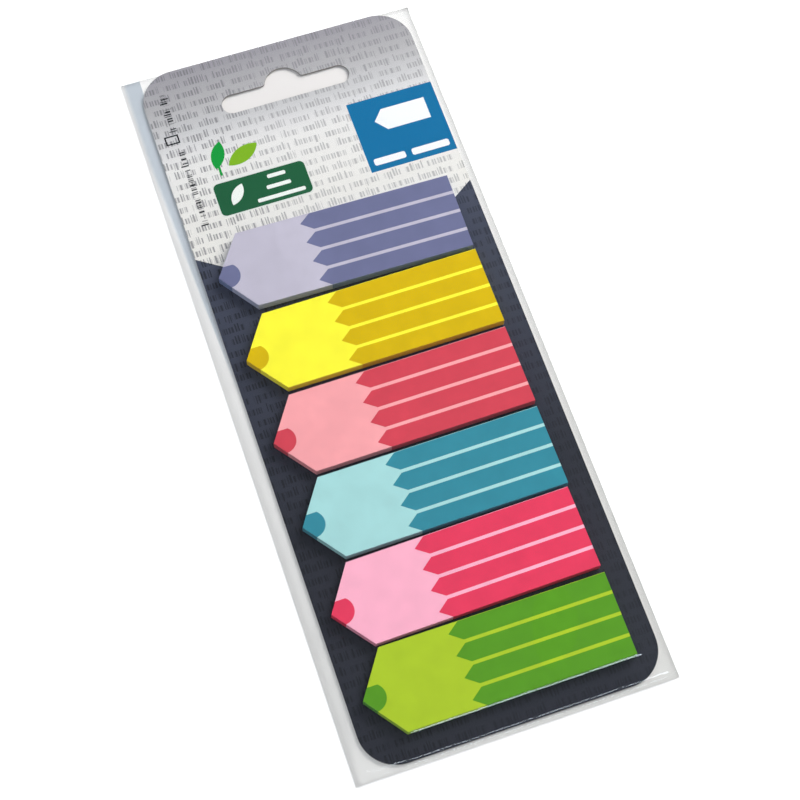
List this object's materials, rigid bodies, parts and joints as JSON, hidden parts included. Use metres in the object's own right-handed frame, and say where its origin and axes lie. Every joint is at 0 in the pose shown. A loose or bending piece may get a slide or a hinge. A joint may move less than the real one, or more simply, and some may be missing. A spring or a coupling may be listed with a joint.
{
  "type": "pack of sticky index tabs",
  "caption": "Pencil-shaped sticky index tabs in coloured pads on a rounded backing card with a hang slot, in a clear film sleeve.",
  "frame": {"origin": "middle of the sleeve's underside, with the pack lying on its back", "axes": "+X along a tab from its point to its blunt end, +Y up the card towards the hang slot, +Z out of the printed face"},
  "size_m": [0.0684, 0.1666, 0.003],
  "materials": {
    "clear_film": "clear polypropylene film, glossy",
    "printed_card": "printed and lightly varnished board",
    "lavender_paper": "printed uncoated paper",
    "yellow_paper": "printed uncoated paper",
    "coral_paper": "printed uncoated paper",
    "teal_paper": "printed uncoated paper",
    "pink_paper": "printed uncoated paper",
    "green_paper": "printed uncoated paper"
  },
  "bodies": {
    "root": {"film_sleeve": "clear_film", "backing_card": "printed_card", "pad_lavender": "lavender_paper", "pad_yellow": "yellow_paper", "pad_coral": "coral_paper", "pad_teal": "teal_paper", "pad_pink": "pink_paper", "pad_green": "green_paper"}
  },
  "joints": []
}
